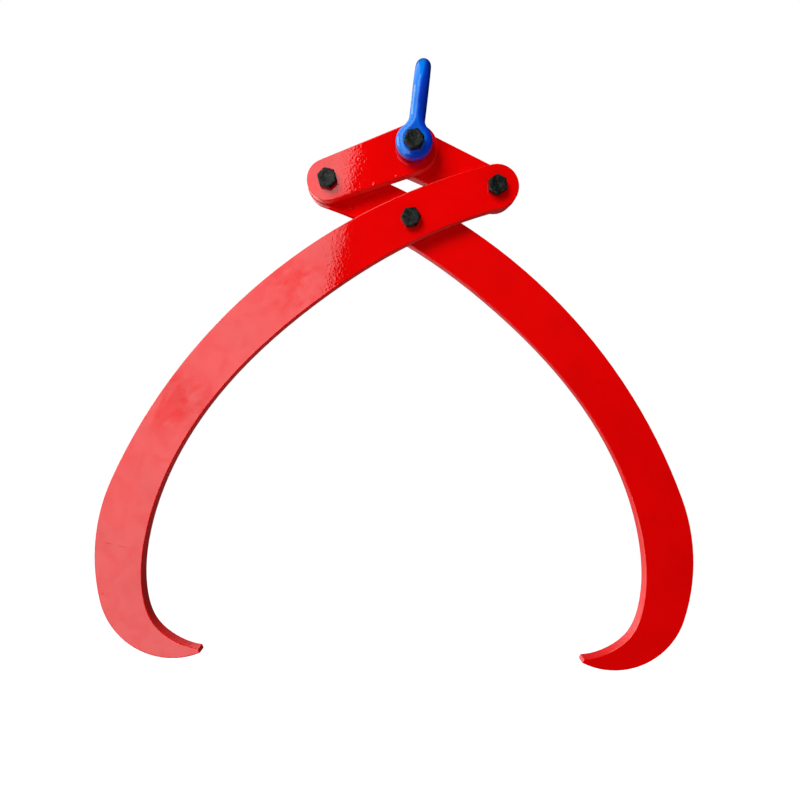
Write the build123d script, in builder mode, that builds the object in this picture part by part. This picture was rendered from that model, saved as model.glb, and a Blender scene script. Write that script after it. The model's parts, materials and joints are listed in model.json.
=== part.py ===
from build123d import *
import os
from math import atan2, cos, degrees, radians, sin, sqrt, tan

# Log lifting clamp, in millimetres.
# +Z is up and -Y is the front. The origin is the seat of the lifting hook, under the shackle's crown.
# Two like hook arms cross at the centre pivot. Two like links carry them from the shackle bolt.
# The four pivots are the corners of a rhombus, so both arms open and close evenly.

# Linkage
link_pitch = 108.0  # pivot to pivot, the same on all four sides of the rhombus
rest_angle = 67.5  # each link at rest, in degrees from straight down
plate_thickness = 16.0
layer_gap = 0.4  # running gap between the front and the back layer of plates
edge_round = 1.2  # dressed edges of the plates

# Links
link_head_radius = 28.3  # round end on the shackle bolt
link_foot_radius = 24.8  # round end on the side pivot

# Hook arms: the outer edge is three arcs, each a radius and a turn in degrees
eye_radius = 26.3  # round upper end on the side pivot
back_slope = 16.1  # outer edge below level, in degrees, where it leaves the eye
back_radius = 680.0
back_turn = 51.1
belly_radius = 232.0
belly_turn = 37.7
hook_radius = 88.7
hook_turn = 100.0
# Widths square to the outer edge place the inner edge. A place runs from 0 to 1 along its arc.
shank_width = 58.7
shank_place = 0.45  # on the back
waist_width = 54.9
waist_place = 0.85  # on the back
belly_width = 59.9
belly_place = 0.4  # on the belly
heel_width = 53.6  # where the belly runs into the hook
throat_width = 39.1
throat_place = 0.5  # on the hook
beak_width = 21.7
beak_place = 0.8  # on the hook
tip_width = 5.3
tip_slope = 3.9  # inner edge above level, in degrees, where it leaves the tip
tip_round = 0.8

# Fasteners: hex bolts with the head in front, and a washer and a lock nut behind
bolt_diameter = 14.0
pivot_clearance = 0.1  # round a bolt, in each hole and nut
bolt_stickout = 4.0  # thread left beyond the nut
bolt_end_bevel = 1.6
hex_bevel = 30.0  # in degrees, on the corners of heads and nuts
hex_bevel_inset = 0.6  # the bevel starts this far inside the flats
head_flats = 21.0
head_height = 8.8
head_dish = 0.7  # depth of the hollow in the top of a head
head_land = 2.0  # flat ring round that hollow
washer_diameter = 28.0
washer_thickness = 2.5
washer_clearance = 0.5
nut_flats = 21.0
nut_hex_height = 10.4
nut_collar_height = 3.6  # round collar that holds the nylon insert
nut_collar_wall = 1.0
nut_collar_round = 1.2
nut_lip = 0.8  # the collar's top is rolled in over the insert by this much
insert_thickness = 2.6
insert_clearance = 0.05

# Shackle
bar_diameter = 18.0
ear_radius = 21.5
ear_rise = 2.5  # an ear's middle stands this far above the bolt's axis
ear_margin = 0.2  # an ear's face stands this far proud of the bar
jaw_clearance = 1.2  # between an ear and the plates, on each side
neck_fillet = 18.0  # hollow between an ear and its leg
neck_inset = 0.4  # the neck runs out this far inside the bar
crown_height = 97.6  # from the bolt's axis to the middle of the bar at the crown
bow_width = 51.0  # inside the bow
leg_straight = 26.0  # straight run of each leg above the bolt's axis
shackle_lean = 4.6  # in degrees, to the right

# How far each hex head is turned, in degrees
left_head_turn = 48.0
right_head_turn = 35.0
centre_head_turn = 4.0
shackle_head_turn = 13.0

# Places worked out from the sizes above
rest = radians(rest_angle)
lean = radians(shackle_lean)
stack = layer_gap / 2 + plate_thickness  # from the middle plane to an outer plate face
jaw_half = stack + jaw_clearance
ear_thickness = bar_diameter + 2 * ear_margin
ear_face = jaw_half + ear_thickness  # from the middle plane to an ear's outer face
hole_radius = bolt_diameter / 2 + pivot_clearance
nut_height = nut_hex_height + nut_collar_height
shackle_pivot = Vector(-crown_height * sin(lean), 0, bar_diameter / 2 - crown_height * cos(lean))
link_reach = Vector(link_pitch * sin(rest), 0, 0)
link_drop = Vector(0, 0, -link_pitch * cos(rest))
left_pivot = shackle_pivot + link_drop - link_reach
right_pivot = shackle_pivot + link_drop + link_reach
centre_pivot = shackle_pivot + link_drop * 2

os.makedirs("parts", exist_ok=True)


def save(builder, name):
    builder.part.label = name
    export_step(builder.part, f"parts/{name}.step")


def front_face(pivot):
    """Outer face of the front layer at a pivot, drawn as seen from behind."""
    return Plane(origin=pivot + Vector(0, -stack, 0), x_dir=(-1, 0, 0), z_dir=(0, 1, 0))


def back_face(pivot):
    """Outer face of the back layer at a pivot, drawn as seen from the front."""
    return Plane(origin=pivot + Vector(0, stack, 0), x_dir=(1, 0, 0), z_dir=(0, -1, 0))


def link(face):
    """Plate link from the shackle bolt out to a side pivot, tapered, with round ends."""
    foot = (link_pitch * sin(rest), -link_pitch * cos(rest))
    with BuildPart() as plate:
        with BuildSketch(face):
            Circle(link_head_radius)
            with Locations(foot):
                Circle(link_foot_radius)
            make_hull()
            with Locations((0, 0), foot):
                Circle(hole_radius, mode=Mode.SUBTRACT)
        extrude(amount=plate_thickness)
        rims = [side.outer_wire().edges() for side in plate.faces().filter_by(Axis.Y)]
        fillet(rims[0] + rims[1], radius=edge_round)
    return plate


def inside(edge, place, width):
    """Point on the inner edge, a width away from a place along the outer edge."""
    along = edge % place
    return edge @ place + Vector(along.Y, -along.X) * width


def hook_arm(face):
    """Plate arm: a round eye, one long back past the centre pivot, a belly and a pointed hook."""
    eye = Vector(-link_pitch * sin(rest), link_pitch * cos(rest))
    slope = radians(back_slope)
    outward = Vector(sin(slope), cos(slope)) * eye_radius
    tip_way = (cos(radians(tip_slope)), sin(radians(tip_slope)))
    with BuildPart() as plate:
        with BuildSketch(face):
            with BuildLine():
                back = JernArc(eye + outward, (cos(slope), -sin(slope)), back_radius, -back_turn)
                belly = JernArc(back @ 1, back % 1, belly_radius, -belly_turn)
                hook = JernArc(belly @ 1, belly % 1, hook_radius, -hook_turn)
                inner = Spline(
                    inside(hook, 1, tip_width),
                    inside(hook, beak_place, beak_width),
                    inside(hook, throat_place, throat_width),
                    inside(hook, 0, heel_width),
                    inside(belly, belly_place, belly_width),
                    inside(back, waist_place, waist_width),
                    inside(back, shank_place, shank_width),
                    eye - outward,
                    tangents=(tip_way, (-cos(slope), sin(slope))),
                    tangent_scalars=(1, 1),
                )
                Line(hook @ 1, inner @ 0)
                round_end = eye - (back % 0) * eye_radius
                ThreePointArc(inner @ 1, round_end, back @ 0)
            make_face()
            with Locations(eye, (0, 0)):
                Circle(hole_radius, mode=Mode.SUBTRACT)
        extrude(amount=plate_thickness)
        fillet(plate.edges().filter_by(Axis.Y).sort_by(Axis.Z)[:2], radius=tip_round)
        rims = [side.outer_wire().edges() for side in plate.faces().filter_by(Axis.Y)]
        fillet(rims[0] + rims[1], radius=edge_round)
    return plate


def shackle_body():
    """Forged bow shackle: round bar bent to a bow, with a round ear and a hollow neck on each leg."""
    across = Vector(cos(lean), 0, -sin(lean))
    upright = Axis(shackle_pivot, (sin(lean), 0, cos(lean)))
    middle = Plane(origin=shackle_pivot, x_dir=across, z_dir=(0, -1, 0))
    side = Plane(origin=shackle_pivot, x_dir=(0, 1, 0), z_dir=across)
    neck_half = bar_diameter / 2 - neck_inset
    fillet_rise = sqrt((ear_radius + neck_fillet) ** 2 - (neck_half + neck_fillet) ** 2)
    neck_top = ear_rise + fillet_rise + neck_inset
    ear_round = neck_half - ear_margin
    # The flare and the bow are circles that touch, so the leg runs smoothly from one to the other.
    leg = jaw_half + ear_thickness / 2
    bow_radius = (bow_width + bar_diameter) / 2
    rise = crown_height - bow_radius - leg_straight
    flare_radius = (leg**2 + rise**2 - bow_radius**2) / (2 * (bow_radius - leg))
    flare_turn = degrees(atan2(rise, leg + flare_radius))
    with BuildPart() as shackle:
        with BuildSketch(middle.offset(jaw_half)) as ear:
            with Locations((0, ear_rise)):
                Circle(ear_radius)
            with Locations((0, neck_top / 2)):
                Rectangle(2 * neck_half, neck_top)
            fillet(ear.vertices().group_by(Axis.Y)[-2], radius=neck_fillet)
        extrude(amount=ear_thickness)
        for face in shackle.faces().filter_by(Axis.Y):
            fillet(face.outer_wire().edges().sort_by(upright)[:-1], radius=ear_round)
        mirror(about=Plane.XZ)
        with BuildLine(side):
            near_leg = Line((leg, 0), (leg, leg_straight))
            near_flare = JernArc(near_leg @ 1, near_leg % 1, flare_radius, -flare_turn)
            crown = JernArc(near_flare @ 1, near_flare % 1, bow_radius, 180 + 2 * flare_turn)
            far_flare = JernArc(crown @ 1, crown % 1, flare_radius, -flare_turn)
            Line(far_flare @ 1, (-leg, 0))
        with BuildSketch(Plane(origin=near_leg @ 0, z_dir=near_leg % 0)):
            Circle(bar_diameter / 2)
        sweep()
        with BuildSketch(middle):
            Circle(hole_radius)
        extrude(amount=ear_face, both=True, mode=Mode.SUBTRACT)
    return shackle


def corner_radius(flats):
    """From the middle of a hexagon to its corners."""
    return flats / 2 / cos(radians(30))


def bevel_drop(flats):
    """How far the bevel has come down at the corners of a hexagon."""
    return (corner_radius(flats) - flats / 2 + hex_bevel_inset) * tan(radians(hex_bevel))


def hex_bolt(pivot, seat, grip, turn):
    """Hex bolt whose head bears on the front of a stack, seat away from the middle plane."""
    head_base = Plane(origin=pivot - Vector(0, seat, 0), x_dir=(1, 0, 0), z_dir=(0, -1, 0))
    section = Plane(origin=head_base.origin, x_dir=(1, 0, 0), z_dir=(0, 0, -1))
    corner = corner_radius(head_flats)
    crown = head_flats / 2 - hex_bevel_inset
    dish = crown - head_land
    length = grip + washer_thickness + nut_height + bolt_stickout
    radius = bolt_diameter / 2
    with BuildPart() as bolt:
        with BuildSketch(head_base):
            RegularPolygon(head_flats / 2, 6, major_radius=False, rotation=turn)
        extrude(amount=head_height)
        with BuildSketch(section):
            with BuildLine():
                Polyline(
                    (0, head_height - head_dish),
                    (0, 0),
                    (corner, 0),
                    (corner, head_height - bevel_drop(head_flats)),
                    (crown, head_height),
                    (dish, head_height),
                )
                TangentArc((0, head_height - head_dish), (dish, head_height), tangent=(1, 0))
            make_face()
        revolve(axis=Axis(head_base.origin, (0, 1, 0)), mode=Mode.INTERSECT)
        with BuildSketch(section):
            Polygon(
                (0, 0),
                (radius, 0),
                (radius, bolt_end_bevel - length),
                (radius - bolt_end_bevel, -length),
                (0, -length),
                align=None,
            )
        revolve(axis=Axis(head_base.origin, (0, 1, 0)))
    return bolt


def washer(pivot, seat):
    """Flat washer behind a stack."""
    with BuildPart() as ring:
        with BuildSketch(Plane(origin=pivot + Vector(0, seat, 0), x_dir=(1, 0, 0), z_dir=(0, 1, 0))):
            Circle(washer_diameter / 2)
            Circle(bolt_diameter / 2 + washer_clearance, mode=Mode.SUBTRACT)
        extrude(amount=washer_thickness)
    return ring


def lock_nut(pivot, seat, turn):
    """Hex nut with a round collar, bored for the bolt and recessed for the nylon insert."""
    base = Plane(origin=pivot + Vector(0, seat, 0), x_dir=(1, 0, 0), z_dir=(0, 1, 0))
    section = Plane(origin=base.origin, x_dir=(1, 0, 0), z_dir=(0, 0, 1))
    corner = corner_radius(nut_flats)
    crown = nut_flats / 2 - hex_bevel_inset
    drop = bevel_drop(nut_flats)
    recess = crown - nut_collar_wall
    with BuildPart() as nut:
        with BuildSketch(base):
            RegularPolygon(nut_flats / 2, 6, major_radius=False, rotation=turn)
        extrude(amount=nut_hex_height)
        with BuildSketch(section):
            Polygon(
                (0, 0),
                (crown, 0),
                (corner, drop),
                (corner, nut_hex_height - drop),
                (crown, nut_hex_height),
                (0, nut_hex_height),
                align=None,
            )
        revolve(axis=Axis(base.origin, (0, 1, 0)), mode=Mode.INTERSECT)
        with BuildSketch(base.offset(nut_hex_height)):
            Circle(crown)
        extrude(amount=nut_collar_height)
        fillet(nut.edges().group_by(Axis.Y)[-1], radius=nut_collar_round)
        with BuildSketch(section):
            Polygon(
                (0, 0),
                (hole_radius, 0),
                (hole_radius, nut_hex_height),
                (recess, nut_hex_height),
                (recess, nut_hex_height + insert_thickness + insert_clearance),
                (recess - nut_lip, nut_hex_height + insert_thickness + insert_clearance),
                (recess - nut_lip, nut_height),
                (0, nut_height),
                align=None,
            )
        revolve(axis=Axis(base.origin, (0, 1, 0)), mode=Mode.SUBTRACT)
    return nut


def nut_insert(pivot, seat):
    """Nylon ring in the collar of a lock nut."""
    outer = nut_flats / 2 - hex_bevel_inset - nut_collar_wall - insert_clearance
    floor = pivot + Vector(0, seat + nut_hex_height, 0)
    with BuildPart() as ring:
        with BuildSketch(Plane(origin=floor, x_dir=(1, 0, 0), z_dir=(0, 1, 0))):
            Circle(outer)
            Circle(hole_radius, mode=Mode.SUBTRACT)
        extrude(amount=insert_thickness)
    return ring


left_link = link(front_face(shackle_pivot))
save(left_link, "left_link")
right_link = link(back_face(shackle_pivot))
save(right_link, "right_link")
front_arm = hook_arm(front_face(centre_pivot))
save(front_arm, "front_arm")
back_arm = hook_arm(back_face(centre_pivot))
save(back_arm, "back_arm")
shackle = shackle_body()
save(shackle, "shackle")

# One bolt, washer, nut and insert at each pivot: name, place, half the stack and turn of the head
pivots = (
    ("shackle", shackle_pivot, ear_face, shackle_head_turn),
    ("left_pivot", left_pivot, stack, left_head_turn),
    ("right_pivot", right_pivot, stack, right_head_turn),
    ("centre_pivot", centre_pivot, stack, centre_head_turn),
)
for name, pivot, seat, turn in pivots:
    nut_seat = seat + washer_thickness
    save(hex_bolt(pivot, seat, 2 * seat, turn), f"{name}_bolt")
    save(washer(pivot, seat), f"{name}_washer")
    save(lock_nut(pivot, nut_seat, turn), f"{name}_lock_nut")
    save(nut_insert(pivot, nut_seat), f"{name}_nut_insert")
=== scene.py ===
import json
import math

import bmesh
import bpy
from bpy.props import FloatProperty, FloatVectorProperty, PointerProperty
from mathutils import Matrix, Vector


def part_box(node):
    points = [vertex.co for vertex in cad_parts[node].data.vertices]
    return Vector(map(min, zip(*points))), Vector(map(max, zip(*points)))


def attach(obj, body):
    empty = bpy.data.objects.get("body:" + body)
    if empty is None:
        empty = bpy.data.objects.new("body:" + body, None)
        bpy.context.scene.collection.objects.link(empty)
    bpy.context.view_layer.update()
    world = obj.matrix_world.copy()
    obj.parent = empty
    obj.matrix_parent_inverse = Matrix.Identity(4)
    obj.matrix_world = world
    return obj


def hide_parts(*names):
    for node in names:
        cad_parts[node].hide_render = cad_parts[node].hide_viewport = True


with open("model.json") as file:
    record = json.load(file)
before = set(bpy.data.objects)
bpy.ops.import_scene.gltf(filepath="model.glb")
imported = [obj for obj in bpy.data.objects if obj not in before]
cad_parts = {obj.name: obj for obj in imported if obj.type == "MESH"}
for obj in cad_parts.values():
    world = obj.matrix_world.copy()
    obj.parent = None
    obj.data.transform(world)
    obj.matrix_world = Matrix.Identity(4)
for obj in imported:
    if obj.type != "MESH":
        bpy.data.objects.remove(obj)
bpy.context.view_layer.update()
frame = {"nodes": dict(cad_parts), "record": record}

bl_info = {
    "name": "Log Lifting Clamp",
    "version": (1, 0, 0),
    "blender": (4, 5, 0),
    "location": "3D View > Sidebar > Clamp",
    "description": "Dresses the clamp with enamel, threaded black bolts and paint beads in a plain studio",
    "category": "Object",
}

MM = 0.001
PLATES = ("front_arm", "back_arm", "left_link", "right_link")
PIVOTS = ("shackle", "left_pivot", "right_pivot", "centre_pivot")
BODY_OF = {node: body for body, nodes in frame["record"]["behaviour"]["bodies"].items() for node in nodes}

RED_ENAMEL = "gloss_red_enamel"
BLACK_OXIDE = "oiled_black_oxide"

# Sockets of a node that mixes colours: its factor, its two colours and the colour that comes out.
FACTOR, FIRST, SECOND, MIXED = 0, 6, 7, 2

# Drops of paint on the plates' fronts, in mm and degrees: place x and z, radius, length of the tail in
# radii, and how far the tail is turned from straight up.
PAINT_DROPS = {
    "left_link": (
        (-73.8, -140.6, 1.5, 1.8, 12.0),
        (-52.9, -133.5, 1.7, 2.0, -8.0),
        (-27.1, -122.9, 1.4, 1.6, 15.0),
        (-78.4, -126.0, 1.0, 1.4, 0.0),
    ),
    "back_arm": ((-93.3, -158.0, 1.3, 1.7, 5.0), (-80.6, -157.9, 1.5, 1.9, -10.0)),
    "front_arm": (
        (-357.5, -571.8, 0.7, 18.0, 97.0),
        (-343.0, -574.2, 0.6, 30.0, 104.0),
        (-360.5, -633.6, 0.9, 1.6, 20.0),
    ),
}

# Places where the red gloss is dulled, in mm: x, y, z and reach. A cloth wiped two of them on the front
# arm. The one in the lap under the left link is painted shade: its gloss is taken off to darken it.
WIPED = ((-142.0, -16.2, -256.0, 50.0), (-277.0, -16.2, -405.0, 62.0))
LAPPED_SHADE = ((-88.0, 12.0, -160.0, 40.0),)


def linear(code):
    """Linear colour of an sRGB hex code."""
    channels = [int(code[i : i + 2], 16) / 255 for i in (0, 2, 4)]
    return tuple(c / 12.92 if c <= 0.04045 else ((c + 0.055) / 1.055) ** 2.4 for c in channels)


def colour(name, description, code):
    """Colour property with an sRGB hex default."""
    return FloatVectorProperty(
        name=name, description=description, subtype="COLOR", size=3, min=0.0, max=1.0, default=linear(code)
    )


def length(name, description, millimetres):
    """Length property with a default in millimetres."""
    return FloatProperty(
        name=name, description=description, unit="LENGTH", subtype="DISTANCE", min=0.0,
        default=millimetres * MM,
    )


def angle(name, description, turn):
    """Angle property with a default in degrees."""
    return FloatProperty(name=name, description=description, subtype="ANGLE", default=math.radians(turn))


def fraction(name, description, value):
    """Property between nothing and one."""
    return FloatProperty(
        name=name, description=description, subtype="FACTOR", min=0.0, max=1.0, default=value
    )


def ior(name, description, index):
    """Index of refraction, which sets how strong a gloss is."""
    return FloatProperty(name=name, description=description, min=1.0, default=index)


def power(name, description, watts):
    """Power of a lamp."""
    return FloatProperty(name=name, description=description, unit="POWER", min=0.0, default=watts)


class ClampFinish(bpy.types.PropertyGroup):
    """Colours and surface grain of the clamp's finishes."""

    red: colour("Red", "Enamel on the arms and links", "E60303")
    red_deep: colour("Deep red", "Enamel where it lies thick", "D00202")
    # The paler red on the rims is a thin coat and partly a painted highlight along them.
    red_thin_and_highlight: colour("Thin red", "Enamel drawn thin over an edge", "F04A3C")
    red_ior: ior("Red IOR", "Gloss of the red enamel", 1.65)
    red_tone: length("Red tone", "Size of the places where the red lies thick", 60.0)
    swell: length("Swell", "Size of the slow waves in the red enamel", 38.0)
    swell_depth: length("Swell depth", "Depth of the slow waves", 0.2)
    peel: length("Orange peel", "Size of the dimples in the sprayed red enamel", 2.45)
    peel_depth: length("Peel depth", "Depth of the dimples in both enamels", 0.06)
    cloud: length("Clouds", "Size of the dull patches in the red enamel", 24.0)
    fleck: fraction("Fleck", "How much the dimples break up the dull patches", 0.25)
    smear: length("Smear", "Width of the streaks that a cloth wiped", 12.0)
    smear_slope: angle("Smear slope", "Turn of the streaks, along the front arm", -48.0)
    wiped_gloss: fraction("Wiped gloss", "Gloss that the cloth took off", 0.22)
    # The gloss taken off in the lap under the left link is painted shade.
    painted_lap_shade: fraction("Lapped gloss", "Gloss that the overspray took off", 0.7)
    # How far the rims pale: partly a thin coat, partly a painted highlight.
    thin_coat_and_highlight: fraction("Thin coat", "How far the red pales where it is drawn thin", 0.15)
    drag: length("Drag lines", "Spacing of the cutter's marks on plate edges", 1.8)
    drag_depth: length("Drag depth", "Depth of the cutter's marks", 0.2)
    blue: colour("Blue", "Enamel on the shackle", "0A74D8")
    # The deep blue is also painted shade on the side that turns right and down, and the blue is the lighter
    # tone of the lit left side.
    blue_deep_and_shade: colour("Deep blue", "Enamel where it ran together", "0838C0")
    blue_ior: ior("Blue IOR", "Gloss of the blue enamel", 1.5)
    blue_tone: length("Blue tone", "Size of the places where the blue lies thick", 22.0)
    blue_peel: length("Blue peel", "Size of the dimples in the blue enamel", 2.6)
    forge: length("Forge scale", "Size of the dents left by the forging", 9.0)
    forge_depth: length("Forge depth", "Depth of the dents", 0.5)
    black: colour("Black", "Oxide on bolts, washers and nuts", "131917")
    bloom: colour("Bloom", "Dried oil on the oxide", "4A4A43")
    oil: length("Oil", "Size of the places where oil dried", 3.2)
    pits: length("Pits", "Size of the pits in the forged steel", 1.6)
    pit_depth: length("Pit depth", "Depth of the pits", 0.08)
    nylon: colour("Nylon", "Rings in the lock nuts", "E9E6DA")
    nylon_cloud: colour("Nylon cloud", "Cloudy places in the nylon", "CFCAB8")
    nylon_ior: ior("Nylon IOR", "Gloss of the nylon", 1.53)
    nylon_grain: length("Nylon grain", "Size of the cloudy places", 3.0)
    nylon_depth: length("Nylon depth", "Depth of the grain in the nylon's skin", 0.05)


class ClampBolts(bpy.types.PropertyGroup):
    """Sizes of the hex bolts."""

    flats: length("Across flats", "Hex head, flat to flat", 21.0)
    head: length("Head height", "From the seat to the top of the head", 8.8)
    bevel: angle("Head bevel", "Slope of the bevel on the corners", 30.0)
    crown: length("Crown", "Radius of the flat top inside the bevel", 9.9)
    land: length("Land", "Width of the flat ring round the dish", 2.0)
    dish: length("Dish", "Depth of the hollow in the top of the head", 0.7)
    edge: length("Edge", "Rounding of the head's edges", 0.22)
    bearing: length("Bearing face", "Height of the round face under the hex", 0.5)
    diameter: length("Thread diameter", "Over the crests of the thread", 14.0)
    pitch: length("Thread pitch", "Rise of the thread in one turn", 2.0)
    threaded: length("Threaded length", "From the end of the bolt", 24.0)
    run_out: length("Run-out", "From the end of the plain shank to the first turn", 1.2)
    end_gap: length("End gap", "From the last turn to the end of the bolt", 0.2)
    end_bevel: length("End bevel", "Bevel on the end of the bolt", 1.6)
    shackle_turn: angle("Shackle bolt", "Turn of its head", 13.0)
    left_pivot_turn: angle("Left bolt", "Turn of its head", 48.0)
    right_pivot_turn: angle("Right bolt", "Turn of its head", 35.0)
    centre_pivot_turn: angle("Centre bolt", "Turn of its head", 4.0)


class ClampStage(bpy.types.PropertyGroup):
    """Camera, lamps and background."""

    lens: FloatProperty(
        name="Lens", description="Focal length on the sensor", subtype="DISTANCE_CAMERA", unit="CAMERA",
        min=1.0, default=28.132,
    )
    sensor: FloatProperty(
        name="Sensor", description="Width of the sensor", subtype="DISTANCE_CAMERA", unit="CAMERA",
        min=1.0, default=36.0,
    )
    camera_place: FloatVectorProperty(
        name="Camera", description="Where the camera stands", subtype="XYZ", unit="LENGTH", size=3,
        default=(-9.84 * MM, -760.0 * MM, -361.94 * MM),
    )
    yaw: angle("Yaw", "Camera turned about the vertical", 0.156)
    pitch: angle("Pitch", "Camera tipped up", -1.852)
    roll: angle("Roll", "Camera turned about its view", -2.323)
    floor: colour("Floor", "Matt paint on the floor", "F4F4F4")
    floor_size: length("Floor size", "From the middle of the floor to its sides", 4000.0)
    floor_drop: length("Floor drop", "Floor below the hook seat", 1750.0)
    floor_lift: fraction("Floor lift", "Glow that makes the floor white", 0.84)
    room: fraction("Room light", "Even light from all round", 0.16)
    softbox: power("Softbox", "Power of the large lamp at the left", 11.5)
    lean: angle("Softbox lean", "Its top leans this far to the right", 7.8)
    key: power("Key", "Power of the lamp at the upper left", 53.0)
    rim: power("Rim", "Power of the lamp at the far left", 26.0)
    back: power("Back", "Power of the lamp behind", 28.0)
    fill: power("Fill", "Power of the lamp beside the camera", 5.0)


def add(tree, kind, settings=None, inputs=None):
    """Adds a node with its settings. Each input is a value or the output that it is linked from."""
    node = tree.nodes.new(kind)
    for name, value in (settings or {}).items():
        setattr(node, name, value)
    for key, value in (inputs or {}).items():
        if isinstance(value, bpy.types.NodeSocket):
            tree.links.new(value, node.inputs[key])
        else:
            node.inputs[key].default_value = value
    return node


def new_material(name):
    """Empty node material."""
    material = bpy.data.materials.new(name)
    material.use_nodes = True
    material.node_tree.nodes.clear()
    return material, material.node_tree


def rgba(value):
    """Colour with full alpha."""
    return (*value, 1.0)


def nearness(tree, place, spots):
    """One in the core of any of the spots and nothing beyond their reach."""
    core = 0.3
    near = 0.0
    for x, y, z, reach in spots:
        away = add(
            tree, "ShaderNodeVectorMath", {"operation": "DISTANCE"}, {0: place, 1: (x * MM, y * MM, z * MM)}
        ).outputs["Value"]
        spot = add(
            tree, "ShaderNodeMapRange", {"interpolation_type": "SMOOTHSTEP"},
            {"Value": away, "From Min": reach * MM, "From Max": core * reach * MM},
        ).outputs[0]
        near = add(tree, "ShaderNodeMath", {"operation": "MAXIMUM"}, {0: spot, 1: near}).outputs[0]
    return near


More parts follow.
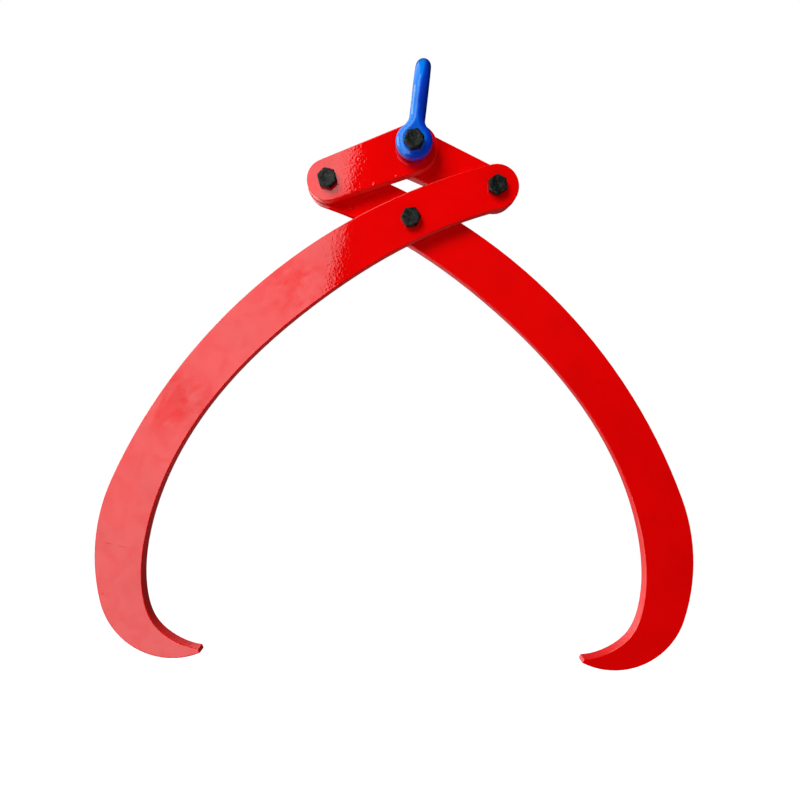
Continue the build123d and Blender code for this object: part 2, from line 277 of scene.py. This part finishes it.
def red_enamel(finish):
    """Gloss alkyd enamel, sprayed on cut steel plate."""
    # It gives an even, saturated red under a wet gloss. Orange peel breaks up the mirrored lamps,
    # the coat is drawn thin and paler over the rims, partly as a painted highlight along them, and on
    # the edges it lies dull over the cutter's drag lines.
    material, tree = new_material(RED_ENAMEL)
    place = add(tree, "ShaderNodeTexCoord").outputs["Object"]

    # The plates' faces look along Y and their cut edges across it. Between the two lies the rounded rim.
    normal = add(tree, "ShaderNodeNewGeometry").outputs["Normal"]
    facing = add(tree, "ShaderNodeSeparateXYZ", None, {0: normal})
    flat = add(tree, "ShaderNodeMath", {"operation": "ABSOLUTE"}, {0: facing.outputs["Y"]}).outputs[0]
    cut = add(tree, "ShaderNodeMapRange", None, {"Value": flat, "From Min": 0.35, "From Max": 0.0})
    leaving = add(tree, "ShaderNodeMapRange", None, {"Value": flat, "From Min": 0.99, "From Max": 0.8})
    rim = add(tree, "ShaderNodeMath", {"operation": "SUBTRACT"}, {0: leaving.outputs[0], 1: cut.outputs[0]})

    tone = add(
        tree, "ShaderNodeTexNoise", None, {"Vector": place, "Scale": 1 / finish.red_tone, "Detail": 4.0}
    )
    thick = add(
        tree, "ShaderNodeMapRange", None,
        {"Value": tone.outputs[0], "From Min": 0.42, "From Max": 0.75, "To Max": 0.5},
    )
    body = add(
        tree, "ShaderNodeMix", {"data_type": "RGBA"},
        {FACTOR: thick.outputs[0], FIRST: rgba(finish.red), SECOND: rgba(finish.red_deep)},
    )
    # Paler red on the rims: a thin coat, and partly a painted highlight along the rounded rims.
    thin = add(
        tree, "ShaderNodeMath", {"operation": "MULTIPLY"}, {0: rim.outputs[0], 1: finish.thin_coat_and_highlight}
    )
    base = add(
        tree, "ShaderNodeMix", {"data_type": "RGBA"},
        {FACTOR: thin.outputs[0], FIRST: body.outputs[MIXED], SECOND: rgba(finish.red_thin_and_highlight)},
    )

    # Real orange peel and drag lines are finer. They are drawn as coarse as they need to be to show.
    swell = add(
        tree, "ShaderNodeTexNoise", None, {"Vector": place, "Scale": 1 / finish.swell, "Detail": 1.0}
    )
    waves = add(
        tree, "ShaderNodeBump", None,
        {"Strength": 0.6, "Distance": finish.swell_depth, "Height": swell.outputs[0]},
    )
    peel = add(
        tree, "ShaderNodeTexNoise", None,
        {"Vector": place, "Scale": 1 / finish.peel, "Detail": 1.5, "Roughness": 0.4},
    )
    dimples = add(
        tree, "ShaderNodeBump", None,
        {
            "Strength": 1.0, "Distance": finish.peel_depth, "Height": peel.outputs[0],
            "Normal": waves.outputs[0],
        },
    )
    through = add(tree, "ShaderNodeMapping", None, {"Vector": place, "Scale": (1.0, 0.06, 1.0)})
    lines = add(
        tree, "ShaderNodeTexNoise", None,
        {"Vector": through.outputs[0], "Scale": 1 / finish.drag, "Detail": 2.0},
    )
    drag = add(tree, "ShaderNodeMath", {"operation": "MULTIPLY"}, {0: lines.outputs[0], 1: cut.outputs[0]})
    grain = add(
        tree, "ShaderNodeBump", None,
        {
            "Strength": 0.6, "Distance": finish.drag_depth, "Height": drag.outputs[0],
            "Normal": dimples.outputs[0],
        },
    )
    haze = add(
        tree, "ShaderNodeMapRange", None, {"Value": tone.outputs[0], "To Min": 0.02, "To Max": 0.06}
    )
    dull = add(
        tree, "ShaderNodeMapRange", None,
        {"Value": cut.outputs[0], "To Min": haze.outputs[0], "To Max": 0.5},
    )

    # The gloss is a little cloudy. It is streaked along the front arm where a cloth wiped it. In the lap
    # under the left link it is taken off as painted shade.
    cloud = add(
        tree, "ShaderNodeTexNoise", None,
        {"Vector": place, "Scale": 1 / finish.cloud, "Detail": 4.0, "Distortion": 1.0},
    )
    speck = add(
        tree, "ShaderNodeMath", {"operation": "MULTIPLY_ADD"},
        {0: peel.outputs[0], 1: finish.fleck, 2: cloud.outputs[0]},
    )
    gloss = add(
        tree, "ShaderNodeMapRange", None,
        {"Value": speck.outputs[0], "From Min": 0.47, "From Max": 0.72, "To Min": 0.46, "To Max": 0.55},
    )
    along = add(
        tree, "ShaderNodeMapping", {"vector_type": "TEXTURE"},
        {"Vector": place, "Rotation": (0.0, finish.smear_slope, 0.0), "Scale": (2.2, 1.0, 1.0)},
    )
    smear = add(
        tree, "ShaderNodeTexNoise", None,
        {"Vector": along.outputs[0], "Scale": 1 / finish.smear, "Detail": 3.0, "Distortion": 0.4},
    )
    streak = add(
        tree, "ShaderNodeMapRange", None, {"Value": smear.outputs[0], "From Min": 0.36, "From Max": 0.62}
    )
    wiped = add(
        tree, "ShaderNodeMath", {"operation": "MULTIPLY"},
        {0: streak.outputs[0], 1: nearness(tree, place, WIPED)},
    )
    rubbed = add(
        tree, "ShaderNodeMath", {"operation": "MULTIPLY_ADD"},
        {0: wiped.outputs[0], 1: -finish.wiped_gloss, 2: gloss.outputs[0]},
    )
    # Painted shade: the gloss is taken off in the lap under the left link.
    sheen = add(
        tree, "ShaderNodeMath", {"operation": "MULTIPLY_ADD", "use_clamp": True},
        {0: nearness(tree, place, LAPPED_SHADE), 1: -finish.painted_lap_shade, 2: rubbed.outputs[0]},
    )
    shader = add(
        tree, "ShaderNodeBsdfPrincipled", None,
        {
            "Base Color": base.outputs[MIXED], "Roughness": dull.outputs[0], "IOR": finish.red_ior,
            "Specular IOR Level": sheen.outputs[0], "Normal": grain.outputs[0],
        },
    )
    add(tree, "ShaderNodeOutputMaterial", None, {"Surface": shader.outputs[0]})
    return material


def blue_enamel(finish):
    """Gloss blue enamel, brushed thick on a drop forging."""
    # The dents of the forging stay under it, so its highlights waver. It is painted a deeper blue where it
    # turns right and down, away from the lamps, and a lighter one at the left: painted shade and light over
    # a random tone.
    shade_towards = (0.9, 0.0, -0.44)
    uneven = 0.5
    material, tree = new_material("gloss_blue_enamel")
    place = add(tree, "ShaderNodeTexCoord").outputs["Object"]
    tone = add(
        tree, "ShaderNodeTexNoise", None, {"Vector": place, "Scale": 1 / finish.blue_tone, "Detail": 3.0}
    )
    # Painted shade and light: deeper blue where the surface faces right and down, lighter at the left,
    # mixed with a random tone.
    facing = add(tree, "ShaderNodeNewGeometry").outputs["Normal"]
    shaded_side = add(
        tree, "ShaderNodeVectorMath", {"operation": "DOT_PRODUCT"}, {0: facing, 1: shade_towards}
    ).outputs["Value"]
    tone_and_shade = add(
        tree, "ShaderNodeMath", {"operation": "MULTIPLY_ADD"}, {0: tone.outputs[0], 1: uneven, 2: shaded_side}
    )
    thick = add(
        tree, "ShaderNodeMapRange", {"interpolation_type": "SMOOTHSTEP"},
        {"Value": tone_and_shade.outputs[0], "From Min": 0.0, "From Max": 0.5},
    )
    base = add(
        tree, "ShaderNodeMix", {"data_type": "RGBA"},
        {FACTOR: thick.outputs[0], FIRST: rgba(finish.blue), SECOND: rgba(finish.blue_deep_and_shade)},
    )
    dents = add(
        tree, "ShaderNodeTexNoise", None, {"Vector": place, "Scale": 1 / finish.forge, "Detail": 1.0}
    )
    hammered = add(
        tree, "ShaderNodeBump", None,
        {"Strength": 0.7, "Distance": finish.forge_depth, "Height": dents.outputs[0]},
    )
    # The dimples are drawn coarser than real ones, as on the red.
    peel = add(
        tree, "ShaderNodeTexNoise", None, {"Vector": place, "Scale": 1 / finish.blue_peel, "Detail": 1.5}
    )
    dimples = add(
        tree, "ShaderNodeBump", None,
        {
            "Strength": 0.6, "Distance": finish.peel_depth, "Height": peel.outputs[0],
            "Normal": hammered.outputs[0],
        },
    )
    haze = add(
        tree, "ShaderNodeMapRange", None, {"Value": tone.outputs[0], "To Min": 0.08, "To Max": 0.18}
    )
    shader = add(
        tree, "ShaderNodeBsdfPrincipled", None,
        {
            "Base Color": base.outputs[MIXED], "Roughness": haze.outputs[0], "IOR": finish.blue_ior,
            "Normal": dimples.outputs[0],
        },
    )
    add(tree, "ShaderNodeOutputMaterial", None, {"Surface": shader.outputs[0]})
    return material


def black_oxide(finish):
    """Black oxide on forged steel fasteners, wiped with oil."""
    # It gives a near-black semi-gloss whose bevels catch the light, with a brown-green bloom of dried oil.
    # Real pits and dried oil are finer. They are drawn as coarse as they need to be to show.
    material, tree = new_material(BLACK_OXIDE)
    place = add(tree, "ShaderNodeTexCoord").outputs["Object"]
    oil = add(tree, "ShaderNodeTexNoise", None, {"Vector": place, "Scale": 1 / finish.oil, "Detail": 3.0})
    dried = add(
        tree, "ShaderNodeMapRange", None,
        {"Value": oil.outputs[0], "From Min": 0.46, "From Max": 0.74, "To Max": 0.65},
    )
    base = add(
        tree, "ShaderNodeMix", {"data_type": "RGBA"},
        {FACTOR: dried.outputs[0], FIRST: rgba(finish.black), SECOND: rgba(finish.bloom)},
    )
    pits = add(tree, "ShaderNodeTexNoise", None, {"Vector": place, "Scale": 1 / finish.pits, "Detail": 3.0})
    pitted = add(
        tree, "ShaderNodeBump", None,
        {"Strength": 0.6, "Distance": finish.pit_depth, "Height": pits.outputs[0]},
    )
    sheen = add(tree, "ShaderNodeMapRange", None, {"Value": oil.outputs[0], "To Min": 0.3, "To Max": 0.58})
    shader = add(
        tree, "ShaderNodeBsdfPrincipled", None,
        {
            "Base Color": base.outputs[MIXED], "Metallic": 0.6, "Roughness": sheen.outputs[0],
            "Normal": pitted.outputs[0],
        },
    )
    add(tree, "ShaderNodeOutputMaterial", None, {"Surface": shader.outputs[0]})
    return material


def natural_nylon(finish):
    """Natural nylon, moulded and pressed into the nut."""
    # It gives a milky off-white, slightly cloudy and soft in its gloss.
    material, tree = new_material("natural_nylon")
    place = add(tree, "ShaderNodeTexCoord").outputs["Object"]
    cloud = add(
        tree, "ShaderNodeTexNoise", None, {"Vector": place, "Scale": 1 / finish.nylon_grain, "Detail": 3.0}
    )
    tone = add(tree, "ShaderNodeMapRange", None, {"Value": cloud.outputs[0], "To Min": 0.0, "To Max": 0.5})
    base = add(
        tree, "ShaderNodeMix", {"data_type": "RGBA"},
        {FACTOR: tone.outputs[0], FIRST: rgba(finish.nylon), SECOND: rgba(finish.nylon_cloud)},
    )
    skin = add(
        tree, "ShaderNodeBump", None,
        {"Strength": 0.4, "Distance": finish.nylon_depth, "Height": cloud.outputs[0]},
    )
    shader = add(
        tree, "ShaderNodeBsdfPrincipled", None,
        {
            "Base Color": base.outputs[MIXED], "Roughness": 0.42, "IOR": finish.nylon_ior,
            "Normal": skin.outputs[0],
        },
    )
    add(tree, "ShaderNodeOutputMaterial", None, {"Surface": shader.outputs[0]})
    return material


def dress(node, material):
    """Gives a CAD node its finish."""
    data = frame["nodes"][node].data
    data.materials.clear()
    data.materials.append(material)


def mesh_object(name, bm, material):
    """Object with the finished mesh, at the origin."""
    data = bpy.data.meshes.new(name)
    bm.to_mesh(data)
    bm.free()
    data.materials.append(material)
    made = bpy.data.objects.new(name, data)
    bpy.context.scene.collection.objects.link(made)
    return made


def piece(name, bm, material, body):
    """Makes a finished mesh a piece of the clamp that rides on a body."""
    sharp_edge = math.radians(28)
    made = mesh_object(name, bm, material)
    for face in made.data.polygons:
        face.use_smooth = True
    made.data.set_sharp_from_angle(angle=sharp_edge)
    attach(made, body)
    return made


def spun(outline, steps):
    """Closed solid of revolution about Y from (radius, along) points that begin and end on the axis."""
    bm = bmesh.new()
    points = [bm.verts.new((radius, along, 0.0)) for radius, along in outline]
    edges = [bm.edges.new(pair) for pair in zip(points, points[1:])]
    bmesh.ops.spin(
        bm, geom=points + edges, cent=(0, 0, 0), axis=(0, 1, 0), angle=math.tau, steps=steps, use_merge=True
    )
    bmesh.ops.remove_doubles(bm, verts=bm.verts, dist=1e-7)
    bmesh.ops.recalc_face_normals(bm, faces=bm.faces)
    return bm


def cut_flats(bm, apothem):
    """Cuts a turned head to a hexagon with a corner on +X."""
    for side in range(6):
        turn = math.radians(30 + 60 * side)
        way = Vector((math.cos(turn), 0.0, math.sin(turn)))
        cut = bmesh.ops.bisect_plane(
            bm, geom=bm.verts[:] + bm.edges[:] + bm.faces[:], dist=1e-8,
            plane_co=way * apothem, plane_no=way, clear_outer=True,
        )
        rim = [item for item in cut["geom_cut"] if isinstance(item, bmesh.types.BMEdge)]
        bmesh.ops.edgeloop_fill(bm, edges=rim)
    bmesh.ops.recalc_face_normals(bm, faces=bm.faces)


def thread(bm, root, crest, pitch, start, end, end_bevel):
    """Adds a helical ridge on a core, cut back by the bevel on the bolt's end."""
    sink = 0.05 * MM
    steps = 40
    half_land = 0.06 * pitch
    middle = start + pitch / 2
    outline = (
        (root - sink, start),
        (root, start + half_land),
        (crest, middle - half_land),
        (crest, middle + half_land),
        (root, start + pitch - half_land),
        (root - sink, start + pitch),
    )
    first = bm.faces.new([bm.verts.new((radius, along, 0.0)) for radius, along in outline])
    known = set(bm.faces)
    turns = (end - start - pitch) / pitch
    count = round(turns * steps)
    bmesh.ops.spin(
        bm, geom=[first], cent=(0, 0, 0), axis=(0, 1, 0), dvec=(0, pitch / steps, 0),
        angle=math.tau * count / steps, steps=count,
    )
    made = [face for face in bm.faces if face not in known] + [first]
    for vert in {v for face in made for v in face.verts}:
        allowed = crest - max(0.0, vert.co.y - (end - end_bevel))
        reach = math.hypot(vert.co.x, vert.co.z)
        if reach > allowed:
            vert.co.x *= allowed / reach
            vert.co.z *= allowed / reach
    bmesh.ops.recalc_face_normals(bm, faces=made)


def hex_bolt(name, turn, sizes, material):
    """Hex bolt with a bevelled, dished head, a bearing face and a rolled thread."""
    # The turned blank stands past the corners of the hex by the spare. The head's edges that turn by more
    # than the corner are rounded, apart from those nearer to the seat than the seat gap.
    thread_depth = 0.61 * sizes.pitch
    spare = 0.2 * MM
    seat_gap = 0.1 * MM
    corner = math.radians(22)

    node = f"{name}_bolt"
    low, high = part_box(node)
    seat = low.y + sizes.head
    end = high.y - seat
    shank_end = end - sizes.threaded
    radius = sizes.diameter / 2
    root = radius - thread_depth
    tip = radius - sizes.end_bevel
    apothem = sizes.flats / 2
    blank = apothem / math.cos(math.radians(30)) + spare
    hollow = sizes.crown - sizes.land
    top = -sizes.head
    dished = [
        (hollow * share, top + sizes.dish * (1 - share**2)) for share in (0.0, 0.25, 0.5, 0.75, 1.0)
    ]
    outline = dished + [
        (sizes.crown, top),
        (blank, top + (blank - sizes.crown) * math.tan(sizes.bevel)),
        (blank, -sizes.bearing),
        (sizes.crown, -sizes.bearing),
        (sizes.crown, 0.0),
        (radius, 0.0),
        (radius, shank_end),
        (root, shank_end + radius - root),
        (root, end - (root - tip)),
        (tip, end),
        (0.0, end),
    ]
    bm = spun(outline, steps=72)
    cut_flats(bm, apothem)
    head_edges = [
        edge for edge in bm.edges
        if edge.is_manifold and edge.calc_face_angle(0.0) > corner
        and max(v.co.y for v in edge.verts) < -seat_gap
    ]
    bmesh.ops.bevel(
        bm, geom=head_edges, offset=sizes.edge, offset_type="OFFSET", affect="EDGES", segments=2,
        profile=0.5, clamp_overlap=True, material=-1,
    )
    thread(
        bm, root, radius, sizes.pitch, shank_end + sizes.run_out, end - sizes.end_gap, sizes.end_bevel
    )
    middle = (low + high) / 2
    bmesh.ops.rotate(bm, verts=bm.verts, cent=(0, 0, 0), matrix=Matrix.Rotation(-turn, 3, "Y"))
    bmesh.ops.translate(bm, verts=bm.verts, vec=(middle.x, seat, middle.z))
    made = piece(f"{name}_threaded_bolt", bm, material, BODY_OF[node])
    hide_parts(node)


def paint_bead(bm, place, radius, tail, turn):
    """Adds a drop of paint that stands out of a plate's face, with its tail turned from straight up."""
    flatness = 0.55
    outline = (
        (0.0, -1.0),
        (0.5, -0.87),
        (0.87, -0.5),
        (1.0, 0.0),
        (0.84, 0.3 * tail),
        (0.4, 0.75 * tail),
        (0.0, tail),
    )
    drop = spun([(across * radius, along * radius) for across, along in outline], steps=16)
    upright = Matrix.Rotation(turn, 4, "Y") @ Matrix.Rotation(math.radians(90), 4, "X")
    flatten = Matrix.Diagonal((1.0, flatness, 1.0, 1.0))
    bmesh.ops.transform(drop, verts=drop.verts, matrix=Matrix.Translation(place) @ flatten @ upright)
    made = bpy.data.meshes.new("drop")
    drop.to_mesh(made)
    drop.free()
    bm.from_mesh(made)
    bpy.data.meshes.remove(made)


def set_camera(scene, stage):
    """Camera at the fitted view."""
    data = bpy.data.cameras.new("camera")
    data.sensor_width = stage.sensor
    data.lens = stage.lens
    camera = bpy.data.objects.new("camera", data)
    scene.collection.objects.link(camera)
    turn = (
        Matrix.Rotation(stage.yaw, 3, "Z")
        @ Matrix.Rotation(stage.pitch, 3, "X")
        @ Matrix.Rotation(stage.roll, 3, "Y")
        @ Matrix.Rotation(math.radians(90), 3, "X")
    )
    camera.matrix_world = Matrix.Translation(stage.camera_place) @ turn.to_4x4()
    scene.camera = camera


def shown_rays(tree, strength):
    """Strength for rays that show a surface to the eye: straight, in a reflection or through glass."""
    ray = add(tree, "ShaderNodeLightPath").outputs
    shown = ray["Is Camera Ray"]
    for kind in ("Is Glossy Ray", "Is Transmission Ray"):
        shown = add(tree, "ShaderNodeMath", {"operation": "MAXIMUM"}, {0: shown, 1: ray[kind]}).outputs[0]
    return add(tree, "ShaderNodeMath", {"operation": "MULTIPLY"}, {0: shown, 1: strength}).outputs[0]


def set_room(scene, stage):
    """White room to the eye and in reflections, and an even dim light on everything else."""
    world = bpy.data.worlds.new("white_room")
    scene.world = world
    world.use_nodes = True
    tree = world.node_tree
    tree.nodes.clear()
    even = add(tree, "ShaderNodeBackground", None, {"Color": (1, 1, 1, 1), "Strength": stage.room})
    white = add(tree, "ShaderNodeBackground", None, {"Color": (1, 1, 1, 1), "Strength": 1.0})
    both = add(
        tree, "ShaderNodeMixShader", None,
        {0: shown_rays(tree, 1.0), 1: even.outputs[0], 2: white.outputs[0]},
    )
    add(tree, "ShaderNodeOutputWorld", None, {"Surface": both.outputs[0]})


def set_floor(stage):
    """Plain pale floor well below the hanging clamp."""
    material, tree = new_material("matt_white_floor")
    matt = add(tree, "ShaderNodeBsdfDiffuse", None, {"Color": rgba(stage.floor)})
    lift = add(tree, "ShaderNodeEmission", None, {"Strength": shown_rays(tree, stage.floor_lift)})
    both = add(tree, "ShaderNodeAddShader", None, {0: matt.outputs[0], 1: lift.outputs[0]})
    add(tree, "ShaderNodeOutputMaterial", None, {"Surface": both.outputs[0]})
    bm = bmesh.new()
    bmesh.ops.create_grid(bm, x_segments=1, y_segments=1, size=stage.floor_size)
    bmesh.ops.translate(bm, verts=bm.verts, vec=(0.0, 0.0, -stage.floor_drop))
    floor = mesh_object("floor", bm, material)


def set_drape(stage):
    """Black tent, open to the left, which only shows as the dark side of reflections."""
    # In metres. The cloth below lies just off the floor.
    depth = 1.9
    front_left = -2.6
    back_left = -1.0
    roof_left = -1.3
    right = 2.3
    top = 3.0
    low = -stage.floor_drop
    off_floor = 0.01

    material, tree = new_material("black_cloth")
    shader = add(tree, "ShaderNodeBsdfDiffuse", None, {"Color": (0.0, 0.0, 0.0, 1.0)})
    add(tree, "ShaderNodeOutputMaterial", None, {"Surface": shader.outputs[0]})
    bm = bmesh.new()
    path = ((front_left, -depth), (right, -depth), (right, depth), (back_left, depth))
    posts = [bm.verts.new((x, y, low)) for x, y in path]
    rail = [bm.edges.new(pair) for pair in zip(posts, posts[1:])]
    raised = bmesh.ops.extrude_edge_only(bm, edges=rail)
    for item in raised["geom"]:
        if isinstance(item, bmesh.types.BMVert):
            item.co.z = top
    roof_middle = (roof_left + right) / 2
    roof_half = (right - roof_left) / 2
    for height in (top, low + off_floor):
        move = Matrix.Translation((roof_middle, 0.0, height))
        spread = Matrix.Diagonal((roof_half, depth, 1.0, 1.0))
        bmesh.ops.create_grid(bm, x_segments=1, y_segments=1, size=1.0, matrix=move @ spread)
    drape = mesh_object("black_drape", bm, material)
    drape.visible_camera = False
    drape.visible_diffuse = False
    drape.visible_transmission = False
    drape.visible_shadow = False


def set_lamp(name, size, place, aim, watts, lean=0.0):
    """Area lamp that faces a point, with its top leaned to the right."""
    data = bpy.data.lights.new(name, "AREA")
    data.shape = "RECTANGLE"
    data.size, data.size_y = size
    data.energy = watts
    lamp = bpy.data.objects.new(name, data)
    lamp.visible_camera = False
    way = Vector(aim) - Vector(place)
    turn = way.to_track_quat("-Z", "Y").to_matrix() @ Matrix.Rotation(-lean, 3, "Z")
    lamp.matrix_world = Matrix.Translation(place) @ turn.to_4x4()
    bpy.context.scene.collection.objects.link(lamp)
    return lamp


def set_lamps(stage):
    """Softbox that is seen only in the gloss, two lamps that only light, and two that do both."""
    middle = (0.0, 0.0, -0.4)
    softbox = set_lamp(
        "softbox", size=(0.75, 2.4), place=(-0.56, -0.9, 0.05), aim=(-0.56, 0.0, 0.05),
        watts=stage.softbox, lean=stage.lean,
    )
    key = set_lamp(
        "key_lamp", size=(1.2, 1.2), place=(-1.0, -1.5, 1.1), aim=(0.0, 0.0, -0.2), watts=stage.key
    )
    set_lamp("rim_lamp", size=(1.2, 1.6), place=(-2.4, -0.1, 0.3), aim=(0.0, -0.1, -0.4), watts=stage.rim)
    set_lamp("back_lamp", size=(1.6, 2.2), place=(-1.0, 1.8, -0.3), aim=middle, watts=stage.back)
    fill = set_lamp("fill_lamp", size=(1.0, 1.0), place=(0.3, -2.0, -0.2), aim=middle, watts=stage.fill)
    softbox.visible_diffuse = False
    key.visible_glossy = False
    fill.visible_glossy = False


class CLAMP_OT_plates(bpy.types.Operator):
    """Paint the hook arms and links with red enamel"""

    bl_idname = "clamp.plates"
    bl_label = "Paint plates"

    def execute(self, context):
        enamel = red_enamel(context.scene.clamp_finish)
        for node in PLATES:
            dress(node, enamel)
        return {"FINISHED"}


class CLAMP_OT_beads(bpy.types.Operator):
    """Add the drops and the thin runs of paint that dried on the plates"""

    bl_idname = "clamp.beads"
    bl_label = "Add paint beads"

    def execute(self, context):
        enamel = bpy.data.materials[RED_ENAMEL]
        for node, drops in PAINT_DROPS.items():
            bm = bmesh.new()
            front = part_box(node)[0].y
            for x, z, radius, tail, turn in drops:
                paint_bead(bm, (x * MM, front, z * MM), radius * MM, tail, math.radians(turn))
            piece(f"{node}_paint_beads", bm, enamel, BODY_OF[node])
        return {"FINISHED"}


class CLAMP_OT_shackle(bpy.types.Operator):
    """Paint the bow shackle with blue enamel"""

    bl_idname = "clamp.shackle"
    bl_label = "Paint shackle"

    def execute(self, context):
        dress("shackle", blue_enamel(context.scene.clamp_finish))
        return {"FINISHED"}


class CLAMP_OT_bolts(bpy.types.Operator):
    """Make the four hex bolts with cut flats and rolled threads"""

    bl_idname = "clamp.bolts"
    bl_label = "Make bolts"

    def execute(self, context):
        sizes = context.scene.clamp_bolts
        oxide = black_oxide(context.scene.clamp_finish)
        for name in PIVOTS:
            hex_bolt(name, getattr(sizes, f"{name}_turn"), sizes, oxide)
        return {"FINISHED"}


class CLAMP_OT_nuts(bpy.types.Operator):
    """Finish the washers, lock nuts and nylon rings"""

    bl_idname = "clamp.nuts"
    bl_label = "Finish nuts and washers"

    def execute(self, context):
        oxide = bpy.data.materials[BLACK_OXIDE]
        nylon = natural_nylon(context.scene.clamp_finish)
        for name in PIVOTS:
            dress(f"{name}_washer", oxide)
            dress(f"{name}_lock_nut", oxide)
            dress(f"{name}_nut_insert", nylon)
        return {"FINISHED"}


class CLAMP_OT_stage(bpy.types.Operator):
    """Set up the camera, the white room, the floor, the tent and the lamps"""

    bl_idname = "clamp.stage"
    bl_label = "Set stage"

    def execute(self, context):
        stage = context.scene.clamp_stage
        set_camera(context.scene, stage)
        set_room(context.scene, stage)
        set_floor(stage)
        set_drape(stage)
        set_lamps(stage)
        context.scene.view_settings.view_transform = "Standard"
        return {"FINISHED"}


class CLAMP_PT_panel(bpy.types.Panel):
    """Sizes, colours and steps of the clamp"""

    bl_idname = "CLAMP_PT_panel"
    bl_label = "Log Lifting Clamp"
    bl_space_type = "VIEW_3D"
    bl_region_type = "UI"
    bl_category = "Clamp"

    def draw(self, context):
        for group in (context.scene.clamp_finish, context.scene.clamp_bolts, context.scene.clamp_stage):
            box = self.layout.box()
            for name in group.__annotations__:
                box.prop(group, name)
        for step in STEPS:
            self.layout.operator(step.bl_idname)


STEPS = (CLAMP_OT_plates, CLAMP_OT_beads, CLAMP_OT_shackle, CLAMP_OT_bolts, CLAMP_OT_nuts, CLAMP_OT_stage)
CLASSES = (ClampFinish, ClampBolts, ClampStage, *STEPS, CLAMP_PT_panel)


def register():
    """Registers the classes and hangs their sizes and colours on the scene."""
    for item in CLASSES:
        bpy.utils.register_class(item)
    bpy.types.Scene.clamp_finish = PointerProperty(type=ClampFinish)
    bpy.types.Scene.clamp_bolts = PointerProperty(type=ClampBolts)
    bpy.types.Scene.clamp_stage = PointerProperty(type=ClampStage)


def unregister():
    """Takes back what register did."""
    del bpy.types.Scene.clamp_stage
    del bpy.types.Scene.clamp_bolts
    del bpy.types.Scene.clamp_finish
    for item in reversed(CLASSES):
        bpy.utils.unregister_class(item)


def main():
    """Dresses the clamp."""
    register()
    bpy.ops.clamp.plates()
    bpy.ops.clamp.beads()
    bpy.ops.clamp.shackle()
    bpy.ops.clamp.bolts()
    bpy.ops.clamp.nuts()
    bpy.ops.clamp.stage()


if __name__ == "__main__":
    main()
